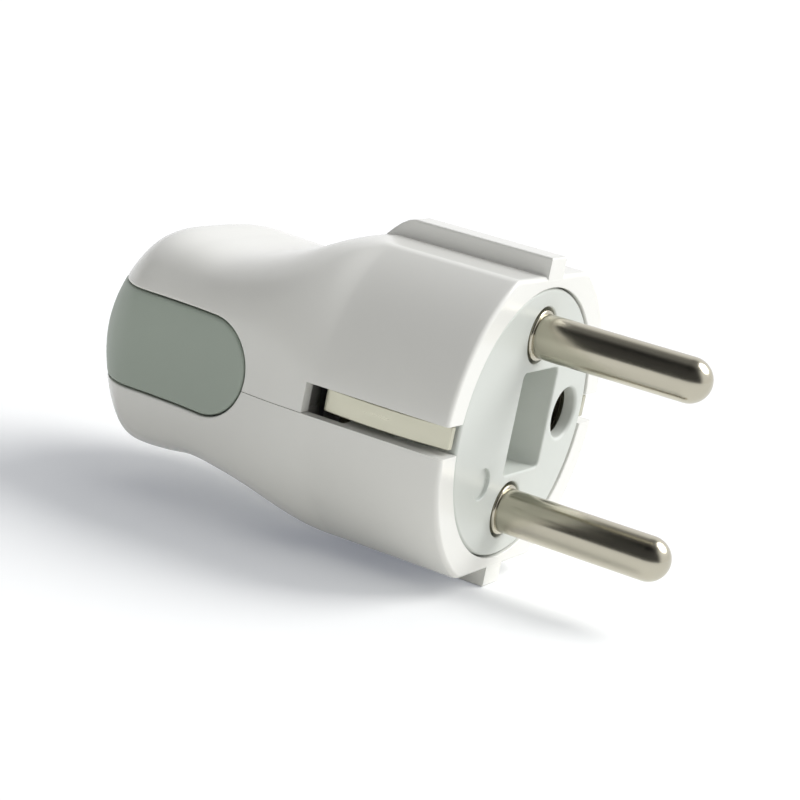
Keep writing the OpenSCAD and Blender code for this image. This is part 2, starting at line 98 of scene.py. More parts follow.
def nickel_on_brass(name, colour_hex, roughness, cloud_mm):
    """Nickel plating on brass: a warm silver, bright, with a faint cloudy change of gloss."""
    made, tree, shader, place = empty_material(name)
    shader.inputs["Base Color"].default_value = linear(colour_hex)
    shader.inputs["Metallic"].default_value = 1
    stretch = node(tree, "ShaderNodeMapping", {"Scale": (0.12, 1, 1)}, {"Vector": place})
    cloud = node(tree, "ShaderNodeTexNoise", {"Scale": per_metre(cloud_mm), "Detail": 2.0},
                 {"Vector": stretch.outputs["Vector"]})
    spread = node(tree, "ShaderNodeMapRange", {"To Min": roughness * 0.8, "To Max": roughness * 1.2},
                  {"Value": cloud.outputs["Fac"]})
    tree.links.new(spread.outputs["Result"], shader.inputs["Roughness"])
    return made


def mesh_piece(name, points, faces, material):
    """A plain mesh object at the origin, merged, with its faces pointing outwards."""
    shape = bpy.data.meshes.new(name)
    shape.from_pydata([tuple(p) for p in points], [], [tuple(f) for f in faces])
    tidy = bmesh.new()
    tidy.from_mesh(shape)
    bmesh.ops.remove_doubles(tidy, verts=tidy.verts, dist=0.001 * mm)
    bmesh.ops.recalc_face_normals(tidy, faces=tidy.faces)
    tidy.to_mesh(shape)
    tidy.free()
    shape.materials.append(material)
    piece = bpy.data.objects.new(name, shape)
    bpy.context.scene.collection.objects.link(piece)
    return piece


def revolve(profile, sides, centre=(0, 0)):
    """Points and faces of a closed solid turned round an axis along X, from (x, radius) pairs.

    Both ends of the profile close on the axis, or the profile is a closed loop off the axis.
    """
    loop = profile[0][1] > 0
    points, faces = [], []
    for x, r in profile:
        for k in range(sides):
            turn = 2 * pi * k / sides
            points.append((x, centre[0] + r * cos(turn), centre[1] + r * sin(turn)))
    rows = len(profile)
    for i in range(rows if loop else rows - 1):
        j = (i + 1) % rows
        for k in range(sides):
            n = (k + 1) % sides
            faces.append((i * sides + k, i * sides + n, j * sides + n, j * sides + k))
    return points, faces


def finish_piece(piece, sharp=35):
    """Smooth shading that stops at real edges, with flat faces kept flat."""
    shape = piece.data
    shape.polygons.foreach_set("use_smooth", [True] * len(shape.polygons))
    shape.set_sharp_from_angle(angle=radians(sharp))
    weigh = piece.modifiers.new("weigh", "WEIGHTED_NORMAL")
    weigh.keep_sharp = True
    return bake(piece)


def bake(piece):
    """Applies a piece's modifiers by making its evaluated mesh its own."""
    graph = bpy.context.evaluated_depsgraph_get()
    graph.update()
    fresh = bpy.data.meshes.new_from_object(piece.evaluated_get(graph), depsgraph=graph)
    old = piece.data
    piece.modifiers.clear()
    piece.data = fresh
    bpy.data.meshes.remove(old)
    fresh.name = piece.name
    return piece


def merge_close(shape):
    """Joins points that lie together and drops faces without area."""
    tidy = bmesh.new()
    tidy.from_mesh(shape)
    bmesh.ops.remove_doubles(tidy, verts=tidy.verts, dist=0.0005 * mm)
    bmesh.ops.dissolve_degenerate(tidy, edges=tidy.edges, dist=0.0005 * mm)
    tidy.to_mesh(shape)
    tidy.free()


def combine(piece, *others, how="DIFFERENCE"):
    """Cuts others from a piece, or joins them to it, and deletes them."""
    for other in others:
        step = piece.modifiers.new("step", "BOOLEAN")
        step.operation = how
        step.solver = "EXACT"
        step.object = other
        bake(piece)
        merge_close(piece.data)
        bpy.data.objects.remove(other)
    return piece


def arc(cx, cr, radius, start, end, steps):
    """Points of a rounded corner in a profile, by angles in degrees from +X towards larger radius."""
    turns = [radians(start + (end - start) * i / steps) for i in range(steps + 1)]
    return [(cx + radius * cos(t), cr + radius * sin(t)) for t in turns]


def turned_pin(name, z, material):
    """One pin with its collar, flange and tubular end."""
    edge = 0.25 * mm
    tip = arc(pin_len - pin_r, 0, pin_r, 0, 90, 24)
    profile = tip + [(0.02 * mm, pin_r), (0, pin_r + 0.05 * mm)]
    profile += arc(-edge, pin_collar_r - edge, edge, 0, 90, 5)
    profile += [(pin_flange_x, pin_collar_r), (pin_flange_x, pin_flange_r)]
    profile += [(pin_flange_x - pin_flange_len, pin_flange_r), (pin_flange_x - pin_flange_len, terminal_r)]
    profile += arc(pin_end + edge, terminal_r - edge, edge, 90, 180, 5)
    profile += [(pin_end, wire_bore_r), (pin_end + wire_bore_len, wire_bore_r), (pin_end + wire_bore_len, 0)]
    points, faces = revolve(profile, turned_sides, (0, z))
    pin = mesh_piece(name, points, faces, material)
    cutter = mesh_piece("hole", *rod_y(terminal_screw_x, z, screw_hole_r, -terminal_r - mm, 0, 48), material)
    return combine(pin, cutter)


def rod_y(x, z, r, low, high, sides):
    """Points and faces of a closed rod along Y."""
    ring = [(x + r * cos(2 * pi * k / sides), z + r * sin(2 * pi * k / sides)) for k in range(sides)]
    points = [(a, low, b) for a, b in ring] + [(a, high, b) for a, b in ring]
    faces = [(k, (k + 1) % sides, sides + (k + 1) % sides, sides + k) for k in range(sides)]
    return points, faces + [tuple(range(sides)), tuple(range(2 * sides - 1, sides - 1, -1))]


nickel = nickel_on_brass("nickel_on_turned_brass", nickel_hex, 0.22, drawn_mm)
for pin_name, side in (("line_pin", 1), ("neutral_pin", -1)):
    pin = finish_piece(turned_pin(pin_name + "_turned", side * pin_z, nickel))
    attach(pin, "root")
    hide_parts(pin_name)

# Inner metal parts: bridge, earth socket, rivet and wire guards are nickel-plated brass, punched or turned,
# and the clamp plate is steel with clear zinc. None shows when the plug is closed, so they keep the shapes
# that the drawing gives them. The screws follow in sections of their own.
zinc_hex = "C4C7CA"
zinc_shade_hex = "AEB2B5"


def zinc_on_steel(name, colour_hex, roughness, grain_mm):
    """Clear zinc on steel: a cool grey metal with a faint cloudy grain."""
    made, tree, shader, place = empty_material(name)
    shader.inputs["Metallic"].default_value = 1
    cloud = node(tree, "ShaderNodeTexNoise", {"Scale": per_metre(grain_mm), "Detail": 3.0}, {"Vector": place})
    tint = node(tree, "ShaderNodeMix", {6: linear(colour_hex), 7: linear(zinc_shade_hex)},
                {0: cloud.outputs["Fac"]}, data_type="RGBA")
    tree.links.new(tint.outputs[2], shader.inputs["Base Color"])
    shader.inputs["Roughness"].default_value = roughness
    return made


def dress(names, material):
    """Gives CAD nodes a material and leaves their shape as it is."""
    for name in names:
        node_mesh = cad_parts[name].data
        node_mesh.materials.clear()
        node_mesh.materials.append(material)


zinc = zinc_on_steel("clear_zinc_on_steel", zinc_hex, 0.32, 1.2)
dress(["line_wire_guard", "neutral_wire_guard", "earth_bridge", "earth_rivet", "earth_socket"], nickel)
dress(["earth_clamp_plate"], zinc)

# Terminal screws: small cheese-head screws of zinc-plated steel, headed and rolled. Two press the wires
# through the leaves in the pins' terminals, and one holds the earth wire under its clamp plate.
screw_shank_r = 1.5 * mm
shank_sides = 40
head_sides = 48
screw_slot_w = 0.8 * mm
screw_slot_depth = 0.7 * mm
screw_edge = 0.25 * mm
terminal_head_r = 2.6 * mm
earth_head_r = 2.8 * mm
screw_head_len = 1.6 * mm
terminal_head_y = -3.9 * mm
terminal_shank_len = 2.7 * mm
earth_head_x = -15.2 * mm
earth_shank_len = 4.4 * mm


def screw_tree():
    """The node tree of a cheese-head screw with a slot, set on every point that it is given."""
    tree = bpy.data.node_groups.new("slotted_screws", "GeometryNodeTree")
    tree.interface.new_socket("Places", in_out="INPUT", socket_type="NodeSocketGeometry")
    for name in ("Head radius", "Head length", "Head edge", "Shank radius", "Shank length", "Slot width",
                 "Slot depth"):
        tree.interface.new_socket(name, in_out="INPUT", socket_type="NodeSocketFloat")
    tree.interface.new_socket("Turn", in_out="INPUT", socket_type="NodeSocketVector")
    tree.interface.new_socket("Metal", in_out="INPUT", socket_type="NodeSocketMaterial")
    tree.interface.new_socket("Screws", in_out="OUTPUT", socket_type="NodeSocketGeometry")
    given = node(tree, "NodeGroupInput").outputs

    def sum_of(a, b, factor=1.0):
        """a + factor * b."""
        return node(tree, "ShaderNodeMath", {1: factor}, {0: b, 2: a}, operation="MULTIPLY_ADD").outputs[0]

    def raised(mesh, height):
        """A mesh moved along Z."""
        move = node(tree, "ShaderNodeCombineXYZ", links={"Z": height})
        moved = node(tree, "GeometryNodeTransform", links={"Geometry": mesh, "Translation": move.outputs[0]})
        return moved.outputs[0]

    def halved(value):
        """Half of a value."""
        return node(tree, "ShaderNodeMath", {1: 0.5}, {0: value}, operation="MULTIPLY").outputs[0]

    straight = sum_of(given["Head length"], given["Head edge"], -1.0)
    head = node(tree, "GeometryNodeMeshCylinder", {"Vertices": head_sides}, {"Radius": given["Head radius"],
                                                                     "Depth": straight})
    top = node(tree, "GeometryNodeMeshCone", {"Vertices": head_sides}, {
        "Radius Bottom": given["Head radius"], "Depth": given["Head edge"],
        "Radius Top": sum_of(given["Head radius"], given["Head edge"], -1.0)})
    whole = sum_of(given["Shank length"], given["Head edge"])
    shank = node(tree, "GeometryNodeMeshCylinder", {"Vertices": shank_sides}, {"Radius": given["Shank radius"],
                                                                      "Depth": whole})
    shank_middle = halved(sum_of(given["Head edge"], given["Shank length"], -1.0))
    body = node(tree, "GeometryNodeMeshBoolean", operation="UNION")
    for mesh in (raised(head.outputs["Mesh"], halved(straight)), raised(top.outputs["Mesh"], straight),
                 raised(shank.outputs["Mesh"], shank_middle)):
        tree.links.new(mesh, body.inputs["Mesh 2"])
    slot_size = node(tree, "ShaderNodeCombineXYZ", links={
        "X": sum_of(given["Head radius"], given["Head radius"], 2.0), "Y": given["Slot width"],
        "Z": sum_of(given["Slot depth"], given["Slot depth"])})
    slot = node(tree, "GeometryNodeMeshCube", links={"Size": slot_size.outputs[0]})
    cut = node(tree, "GeometryNodeMeshBoolean", links={"Mesh 1": body.outputs["Mesh"]}, operation="DIFFERENCE")
    tree.links.new(raised(slot.outputs["Mesh"], given["Head length"]), cut.inputs["Mesh 2"])
    set_on = node(tree, "GeometryNodeInstanceOnPoints", links={
        "Points": given["Places"], "Instance": cut.outputs["Mesh"], "Rotation": given["Turn"]})
    real = node(tree, "GeometryNodeRealizeInstances", links={"Geometry": set_on.outputs["Instances"]})
    coated = node(tree, "GeometryNodeSetMaterial", links={"Geometry": real.outputs["Geometry"],
                                                          "Material": given["Metal"]})
    node(tree, "NodeGroupOutput", links={"Screws": coated.outputs["Geometry"]})
    return tree


def slotted_screws(name, places, turn, head_r, head_len, length):
    """Screws of one size whose heads start at the given places."""
    shape = bpy.data.meshes.new(name)
    shape.from_pydata(places, [], [])
    screws = bpy.data.objects.new(name, shape)
    bpy.context.scene.collection.objects.link(screws)
    step = screws.modifiers.new("screws", "NODES")
    step.node_group = screws_by_rule
    sizes = {"Head radius": head_r, "Head length": head_len, "Head edge": screw_edge, "Shank radius": screw_shank_r,
             "Shank length": length, "Slot width": screw_slot_w, "Slot depth": screw_slot_depth, "Turn": turn,
             "Metal": zinc}
    for socket in screws_by_rule.interface.items_tree:
        if socket.name in sizes:
            step[socket.identifier] = sizes[socket.name]
    return finish_piece(bake(screws), 30)


screws_by_rule = screw_tree()
towards_near_side = (radians(90), 0, 0)
towards_cord = (0, radians(-90), 0)
terminal_screws = {
    "line_terminal_screw": ((terminal_screw_x, terminal_head_y, pin_z), towards_near_side, terminal_head_r,
                            terminal_shank_len),
    "neutral_terminal_screw": ((terminal_screw_x, terminal_head_y, -pin_z), towards_near_side, terminal_head_r,
                               terminal_shank_len),
    "earth_terminal_screw": ((earth_head_x, 0, 0), towards_cord, earth_head_r, earth_shank_len)}
for name, (place, turn, head_r, length) in terminal_screws.items():
    screw = slotted_screws(name + "_zinc", [place], turn, head_r, screw_head_len, length)
    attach(screw, "root")
    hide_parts(name)

# Side earth contacts: strips punched from thin nickel-plated brass, standing in the slots of the collar.
# Each is bowed outwards, so that it springs against the socket, and its foot is riveted behind the bridge.
contact_t = 0.8 * mm
contact_w = 2.4 * mm
contact_z = 0.12 * mm
contact_back = -15 * mm
foot_in = 7.2 * mm
bow_mm = [(-0.45, 15.85), (-0.95, 15.95), (-2.2, 16.2), (-3.6, 16.45), (-5.5, 16.6), (-8, 16.68), (-10.5, 16.62),
          (-12.8, 16.45), (-14.5, 16.22), (-14.85, 16.12), (-15, 15.9)]
bow_before_foot = 8
contact_edge = 0.12 * mm
bevelled_from = radians(40)
strip_hex = "C8C6B4"


def punched_strip(name, side, material):
    """A bowed strip with a foot at its rear end and rounded edges."""
    shape = bmesh.new()
    low_z = contact_z - contact_w / 2
    outline = [(x * mm, y * mm) for x, y in bow_mm] + [(contact_back, foot_in), (contact_back + contact_t, foot_in)]
    outline += [(x * mm, y * mm - contact_t) for x, y in reversed(bow_mm[:bow_before_foot])]
    base = shape.faces.new([shape.verts.new((x, side * y, low_z)) for x, y in outline])
    raised = bmesh.ops.extrude_face_region(shape, geom=[base])
    top = [v for v in raised["geom"] if isinstance(v, bmesh.types.BMVert)]
    bmesh.ops.translate(shape, verts=top, vec=(0, 0, contact_w))
    bmesh.ops.recalc_face_normals(shape, faces=shape.faces)
    corners = [e for e in shape.edges if e.calc_face_angle() > bevelled_from]
    bmesh.ops.bevel(shape, geom=corners, offset=contact_edge, segments=3, profile=0.5, affect="EDGES")
    made = bpy.data.meshes.new(name)
    shape.to_mesh(made)
    shape.free()
    made.materials.append(material)
    strip = bpy.data.objects.new(name, made)
    bpy.context.scene.collection.objects.link(strip)
    return strip


strip_metal = nickel_on_brass("nickel_on_punched_brass", strip_hex, 0.3, 0.5)
for name, side in (("earth_contact_left", -1), ("earth_contact_right", 1)):
    strip = finish_piece(punched_strip(name + "_strip", side, strip_metal))
    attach(strip, "root")
    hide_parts(name)

# Carrier: one light grey satin moulding of glass-filled nylon that holds the pins, the earth socket and the
# bridge. Its rim flange sits in a groove of the shells. All its front edges have small moulded radii.
carrier_r = 14.5 * mm
carrier_x = -0.15 * mm
carrier_wall = -3 * mm
carrier_back = -12.6 * mm
carrier_edge = 0.35 * mm
earth_y = 10 * mm
earth_hole_r = 2.8 * mm
pin_hole_r = 3.05 * mm
pocket_w = 8.2 * mm
pocket_h = 11.1 * mm
pocket_y = 1.9 * mm
pocket_depth = 5 * mm
pocket_round = 0.6 * mm
dimple_r = 1.7 * mm
dimple_place = (-7 * mm, -5.75 * mm)
dimple_depth = 0.4 * mm
dimple_lip = 0.1 * mm
carrier_lip = 0.22 * mm
terminal_bore_r = 4 * mm
window_low = -7.9 * mm
window_high = -3.5 * mm
window_front = -10.1 * mm
window_half = 2.9 * mm
notch_in = 14.9 * mm
notch_half = 1.78 * mm
earth_lip = 0.4 * mm
earth_hole_end = -2.5 * mm
earth_bore_front = -1.6 * mm
earth_bore_r = 3.75 * mm
behind_carrier = 2 * carrier_back
outside = 20 * mm
carrier_hex = "D1D5D0"
plastic_ior = 1.5


def moulded(name, colour_hex, roughness, skin_mm, skin_depth):
    """A thermoplastic moulding: one colour, a typical IOR of 1.5 and the faint skin of its mould."""
    made, tree, shader, place = empty_material(name)
    shader.inputs["Base Color"].default_value = linear(colour_hex)
    shader.inputs["Roughness"].default_value = roughness
    shader.inputs["IOR"].default_value = plastic_ior
    skin = node(tree, "ShaderNodeTexNoise", {"Scale": per_metre(skin_mm), "Detail": 2.0}, {"Vector": place})
    bump = node(tree, "ShaderNodeBump", {"Strength": 1.0, "Distance": skin_depth * mm},
                {"Height": skin.outputs["Fac"]})
    tree.links.new(bump.outputs["Normal"], shader.inputs["Normal"])
    return made


def flared(rings):
    """Points and faces of a closed cutter from a list of equal rings of points, capped at both ends."""
    sides = len(rings[0])
    points = [p for ring in rings for p in ring]
    faces = [(i * sides + k, i * sides + (k + 1) % sides, (i + 1) * sides + (k + 1) % sides, (i + 1) * sides + k)
             for i in range(len(rings) - 1) for k in range(sides)]
    last = (len(rings) - 1) * sides
    return points, faces + [tuple(range(sides)), tuple(range(last + sides - 1, last - 1, -1))]


def lip_levels(face, bottom, lip, steps=4):
    """(x, growth) levels of a cutter with a rounded lip of that radius at the face, from the bottom out."""
    levels = [(bottom, 0.0)]
    for i in range(steps + 1):
        turn = pi / 2 * i / steps
        levels.append((face - lip * (1 - sin(turn)), lip * (1 - cos(turn))))
    return levels + [(face + mm, lip * 1.001)]


def round_cutter(centre, r, face, bottom, lip, sides=96):
    """A round hole's cutter along X."""
    rings = [[(x, centre[0] + (r + g) * cos(2 * pi * k / sides), centre[1] + (r + g) * sin(2 * pi * k / sides))
              for k in range(sides)] for x, g in lip_levels(face, bottom, lip)]
    return flared(rings)


def pocket_cutter(bottom, lip):
    """The cutter of a rectangular pocket with rounded corners, along X."""
    rings = []
    for x, g in lip_levels(carrier_x, bottom, lip):
        ring = []
        for cy, cz, start in ((1, 1, 0), (-1, 1, 90), (-1, -1, 180), (1, -1, 270)):
            for i in range(9):
                turn = radians(start + 90 * i / 8)
                r = pocket_round + g
                ring.append((x, pocket_y + cy * (pocket_w / 2 - pocket_round) + r * cos(turn),
                             cz * (pocket_h / 2 - pocket_round) + r * sin(turn)))
        rings.append(ring)
    return flared(rings)


def box_points(low, high):
    """Points and faces of a plain box."""
    points = [(x, y, z) for x in (low[0], high[0]) for y in (low[1], high[1]) for z in (low[2], high[2])]
    return points, [(0, 1, 3, 2), (4, 6, 7, 5), (0, 4, 5, 1), (2, 3, 7, 6), (0, 2, 6, 4), (1, 5, 7, 3)]


def carrier_blank(material):
    """The cup, the towers and the pocket's walls, before the holes are cut."""
    rim = 1.8 * mm
    cup = arc(carrier_x - carrier_edge, carrier_r - carrier_edge, carrier_edge, 0, 90, 6)
    profile = [(carrier_x, 0)] + cup + [(carrier_back, carrier_r), (carrier_back, carrier_r - rim),
                                        (carrier_wall, carrier_r - rim), (carrier_wall, 0)]
    blank = mesh_piece("pin_carrier_moulding", *revolve(profile, 192), material)
    tower = 5.2 * mm
    inside = carrier_wall + 0.5 * mm
    tower_back = carrier_back + 0.05 * mm
    for centre, r in (((0, pin_z), tower), ((0, -pin_z), tower), ((earth_y, 0), 4.95 * mm)):
        piece = mesh_piece("tower", *revolve([(inside, 0), (inside, r), (tower_back, r), (tower_back, 0)],
                                             70, centre), material)
        trim = mesh_piece("trim", *revolve([(0, 0), (0, carrier_r - rim / 2), (behind_carrier, carrier_r - rim / 2),
                                            (behind_carrier, 0)], 192), material)
        combine(piece, trim, how="INTERSECT")
        combine(blank, piece, how="UNION")
    wall = 1.4 * mm
    half_w, half_h = pocket_w / 2, pocket_h / 2
    walls = mesh_piece("walls", *box_points((-pocket_depth - wall, pocket_y - half_w - wall, -half_h - wall),
                                            (inside, pocket_y + half_w + wall, half_h + wall)), material)
    return combine(blank, walls, how="UNION")


def carrier_flange(material):
    """The two flange arcs that sit in the groove of the shells."""
    flange_r = 15.7 * mm
    front = -5 * mm
    back = -7 * mm
    half = 9 * mm
    ring = mesh_piece("flange", *revolve([(front, 13.6 * mm), (front, flange_r), (back, flange_r),
                                          (back, 13.6 * mm)], 192), material)
    band = mesh_piece("band", *box_points((2 * back, -2 * flange_r, -half), (0, 2 * flange_r, half)), material)
    return combine(ring, band, how="INTERSECT")


carrier_plastic = moulded("satin_moulded_nylon_light_grey", carrier_hex, 0.38, 0.35, 0.004)
carrier = carrier_blank(carrier_plastic)
combine(carrier, carrier_flange(carrier_plastic), how="UNION")


def cut_carrier(name, form):
    """Cuts a form, given as points and faces, from the carrier."""
    combine(carrier, mesh_piece(name, *form, carrier_plastic))


def bore_from_behind(front, r, centre):
    """Points and faces of a bore's cutter that runs from its front end out of the carrier's back."""
    return revolve([(front, 0), (front, r), (behind_carrier, r), (behind_carrier, 0)], 64, centre)


for side in (1, -1):
    z = side * pin_z
    cut_carrier("hole", round_cutter((0, z), pin_hole_r, carrier_x, carrier_wall - mm, carrier_lip))
    cut_carrier("bore", bore_from_behind(carrier_wall, terminal_bore_r, (0, z)))
    cut_carrier("window", box_points((behind_carrier, window_low, z - window_half),
                                     (window_front, window_high, z + window_half)))
    notch_low, notch_high = sorted((side * notch_in, side * outside))
    cut_carrier("notch", box_points((behind_carrier, notch_low, -notch_half), (mm, notch_high, notch_half)))
cut_carrier("hole", round_cutter((earth_y, 0), earth_hole_r, carrier_x, earth_hole_end, earth_lip))
cut_carrier("bore", bore_from_behind(earth_bore_front, earth_bore_r, (earth_y, 0)))
cut_carrier("pocket", pocket_cutter(-pocket_depth, carrier_lip))
cut_carrier("dimple", round_cutter(dimple_place, dimple_r, carrier_x, carrier_x - dimple_depth, dimple_lip, 64))
finish_piece(carrier)
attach(carrier, "root")
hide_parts("pin_carrier")

# Shells: the upper and the lower half of the housing, moulded in glossy white nylon. The collar is round with
# two flats and a guide rib on each flat, and the handle is scooped above and below. They meet on a seam at
# the lower edge of the contact slots, and four screws from below hold them together.
collar_r = 17.9 * mm
flat_half = 15.86 * mm
body_len = 46.6 * mm
handle_drop = 1.05 * mm
seam_z = -1.625 * mm
seam_gap = 0.07 * mm
front_round = 0.5 * mm
rear_round = 0.6 * mm
rib_half_w = 1.75 * mm
rib_len = 16.4 * mm
rib_ramp = 3.1 * mm
rib_drop = 2.3 * mm
rib_edge = 0.25 * mm
slot_half = 1.625 * mm
slot_len = 16.5 * mm
slot_floor = 13 * mm
white_hex = "EDEDE9"
station_shares = [0.314, 0.379, 0.433, 0.476, 0.519, 0.606, 0.693, 0.779, 0.866, 0.918, 0.959, 0.985, 1]
stations = [body_len / mm * share for share in station_shares]
half_widths = [17.86, 17.8, 17.72, 17.5, 17.22, 16.54, 15.88, 15.52, 15.34, 14.21, 12.51, 11.08, 10.0]
half_heights = [17.9, 17.29, 15.79, 14.53, 13.46, 12.24, 11.55, 11.87, 12.19, 11.55, 10.4, 9.31, 8.32]
corners = [2, 2.33, 2.8, 3.3, 3.75, 4.1, 4.2, 4.1, 3.5, 2.75, 2.26, 2.06, 1.96]
drops = [0, 0, 0.055, 0.143, 0.259, 0.536, 0.801, 0.974, 1, 1, 1, 1, 1]


def smooth_value(values, depth):
    """Value at a distance behind the face (mm), on a smooth curve through the stations."""
    depth = np.clip(depth, stations[0], stations[-1])
    s, v = np.array(stations), np.array(values, float)
    slopes = np.zeros(len(s))
    slopes[1:-1] = (v[2:] - v[:-2]) / (s[2:] - s[:-2])
    i = np.clip(np.searchsorted(s, depth, side="right") - 1, 0, len(s) - 2)
    h = s[i + 1] - s[i]
    t = (depth - s[i]) / h
    return ((2 * t**3 - 3 * t**2 + 1) * v[i] + (t**3 - 2 * t**2 + t) * h * slopes[i]
            + (3 * t**2 - 2 * t**3) * v[i + 1] + (t**3 - t**2) * h * slopes[i + 1])


def soft_min(a, b, blend):
    """The smaller of two, with a rounded changeover of about that size."""
    h = np.clip(0.5 + 0.5 * (b - a) / blend, 0, 1)
    return b * (1 - h) + a * h - blend * h * (1 - h)


def round_off(depth, start, radius):
    """How far a rounded edge of that radius pulls the outline in, at a distance past its start."""
    past = np.clip(depth - start, 0, radius)
    return radius - np.sqrt(np.maximum(radius**2 - past**2, 0))


def outline(depth, turns):
    """Points (y, z) in metres of the body's outline at a distance behind the face, in mm."""
    inset = round_off(-depth, -front_round / mm, front_round / mm)
    inset += round_off(depth, (body_len - rear_round) / mm, rear_round / mm)
    a = smooth_value(half_widths, depth) - inset
    b = smooth_value(half_heights, depth) - inset
    e = 2 / smooth_value(corners, depth)
    y = a * np.sign(np.cos(turns)) * np.abs(np.cos(turns))**e
    z = b * np.sign(np.sin(turns)) * np.abs(np.sin(turns))**e
    blend = 0.35 + 1.6 * float(np.clip((depth - 15.5) / 3, 0, 1))
    z = np.sign(z) * soft_min(np.abs(z), flat_half / mm - inset, blend) - (
        handle_drop / mm * smooth_value(drops, depth))
    return y * mm, z * mm


def body_turns(count, near, span, extra):
    """Angles round the body, with more of them where the flats begin."""
    turns = set(np.round(np.linspace(0, 360, count, endpoint=False), 3))
    for corner in (near, 180 - near, 180 + near, 360 - near):
        turns |= set(np.round(np.linspace(corner - span, corner + span, extra), 3))
    return np.radians(sorted(turns))


def body_blank(material):
    """The closed outer form of both shells together."""
    turns = body_turns(240, 62.4, 4, 25)
    depths = list(front_round / mm * (1 - np.cos(np.linspace(0, pi / 2, 7))))
    depths += list(np.linspace(1, 15, 15)) + list(np.arange(15.4, 45.3, 0.4))
    depths += list(body_len / mm - rear_round / mm * (1 - np.sin(np.linspace(0, pi / 2, 8))))
    rings = []
    for depth in depths:
        y, z = outline(depth, turns)
        rings.append([(-depth * mm, a, b) for a, b in zip(y, z)])
    points, faces = flared(rings)
    return mesh_piece("housing", points, faces, material)


def guide_rib(side, material):
    """A guide rib with rounded edges, on one flat."""
    shape = bmesh.new()
    top = collar_r - 0.02 * mm
    low = flat_half - 2 * mm
    ramp = [(-rib_len - rib_ramp * t, top - rib_drop * t ** 1.6) for t in (0.25, 0.5, 0.75, 1)]
    outline_xz = [(-0.02 * mm, low), (-0.02 * mm, top), (-rib_len, top)] + ramp + [(-rib_len - rib_ramp, low)]
    base = shape.faces.new([shape.verts.new((x, -rib_half_w, side * z)) for x, z in outline_xz])
    raised = bmesh.ops.extrude_face_region(shape, geom=[base])
    moved = [v for v in raised["geom"] if isinstance(v, bmesh.types.BMVert)]
    bmesh.ops.translate(shape, verts=moved, vec=(0, 2 * rib_half_w, 0))
    bmesh.ops.recalc_face_normals(shape, faces=shape.faces)
    edges = [e for e in shape.edges if all(abs(v.co.z) > low + mm for v in e.verts)
             and e.calc_face_angle() > bevelled_from]
    bmesh.ops.bevel(shape, geom=edges, offset=rib_edge, segments=4, profile=0.5, affect="EDGES")
    made = bpy.data.meshes.new("rib")
    shape.to_mesh(made)
    shape.free()
    made.materials.append(material)
    rib = bpy.data.objects.new("rib", made)
    bpy.context.scene.collection.objects.link(rib)
    return rib


def slot_cutter(side):
    """A contact slot that is open at the front, with a rounded lip on the collar."""
    lip = 0.1 * mm
    skin = collar_r - 0.06 * mm
    rings = []
    for y, grow in ((slot_floor, 0), (skin - lip, 0), (skin - 0.7 * lip, 0.05 * lip), (skin - 0.4 * lip, 0.2 * lip),
                    (skin - 0.13 * lip, 0.5 * lip), (skin, lip), (collar_r + mm, lip + mm)):
        x, z = -slot_len - grow, slot_half + grow
        rings.append([(mm, side * y, -z), (mm, side * y, z), (x, side * y, z), (x, side * y, -z)])
    return flared(rings)


def side_surface(depth, z):
    """Distance of the handle's side from the middle plane at a depth (mm) and height (m), in metres."""
    inset = round_off(depth, (body_len - rear_round) / mm, rear_round / mm)
    a = smooth_value(half_widths, depth) - inset
    b = smooth_value(half_heights, depth) - inset
    n = smooth_value(corners, depth)
    share = np.abs(z / mm + handle_drop / mm * smooth_value(drops, depth)) / b
    return a * np.maximum(1 - np.minimum(share, 0.999)**n, 0) ** (1 / n) * mm


# The grip pads' outline is needed here already, because their seats are cut into the shells.
pad_half = 5.2 * mm
pad_mid_z = -0.4 * mm
pad_front = 24.3 * mm
pad_rear = 46.5 * mm
pad_floor = 13.4 * mm
pad_floor_rear = 10 * mm
pad_step = 42.4 * mm
pad_arc_steps = 40
pad_straight_steps = 44
pad_rear_steps = 14
past_side = 25 * mm


def pad_ring(inset, end=pad_rear):
    """Points (depth, z) of a pad's outline, pulled in by an inset: a half round front and straight sides."""
    r = pad_half - inset
    centre = pad_front + pad_half
    rear = end - inset
    ring = [(centre - r * sin(pi * i / pad_arc_steps), pad_mid_z + r * cos(pi * i / pad_arc_steps))
            for i in range(pad_arc_steps)]
    run = np.linspace(0, 1, pad_straight_steps, endpoint=False) ** 0.8
    ring += [(centre + (rear - centre) * t, pad_mid_z - r) for t in run]
    ring += [(rear, pad_mid_z - r + 2 * r * i / pad_rear_steps) for i in range(pad_rear_steps)]
    ring += [(rear + (centre - rear) * (1 - (1 - t) ** 0.8), pad_mid_z + r)
             for t in np.linspace(0, 1, pad_straight_steps, endpoint=False)]
    return ring


def pad_seat_cutter(side):
    """The cutter of a pad's seat, with a rounded lip that follows the handle's side."""
    gap = 0.2 * mm
    rings = []
    for grow, lift in ((0, None), (0, -0.22), (0.03, -0.1), (0.1, -0.03), (0.24, 0.02), (1.2, 0.9)):
        ring = []
        for depth, z in pad_ring(-gap - grow * mm, body_len + mm):
            if lift is None:
                y = pad_floor if depth < pad_step else pad_floor_rear
                y = min(y, side_surface(depth / mm, z) - 0.5 * mm)
            else:
                y = side_surface(depth / mm, z) + lift * mm
            ring.append((-depth, side * y, z))
        rings.append(ring)
    rings.append([(x, side * past_side, z) for x, y, z in rings[-1]])
    return closed_by_strips(rings)


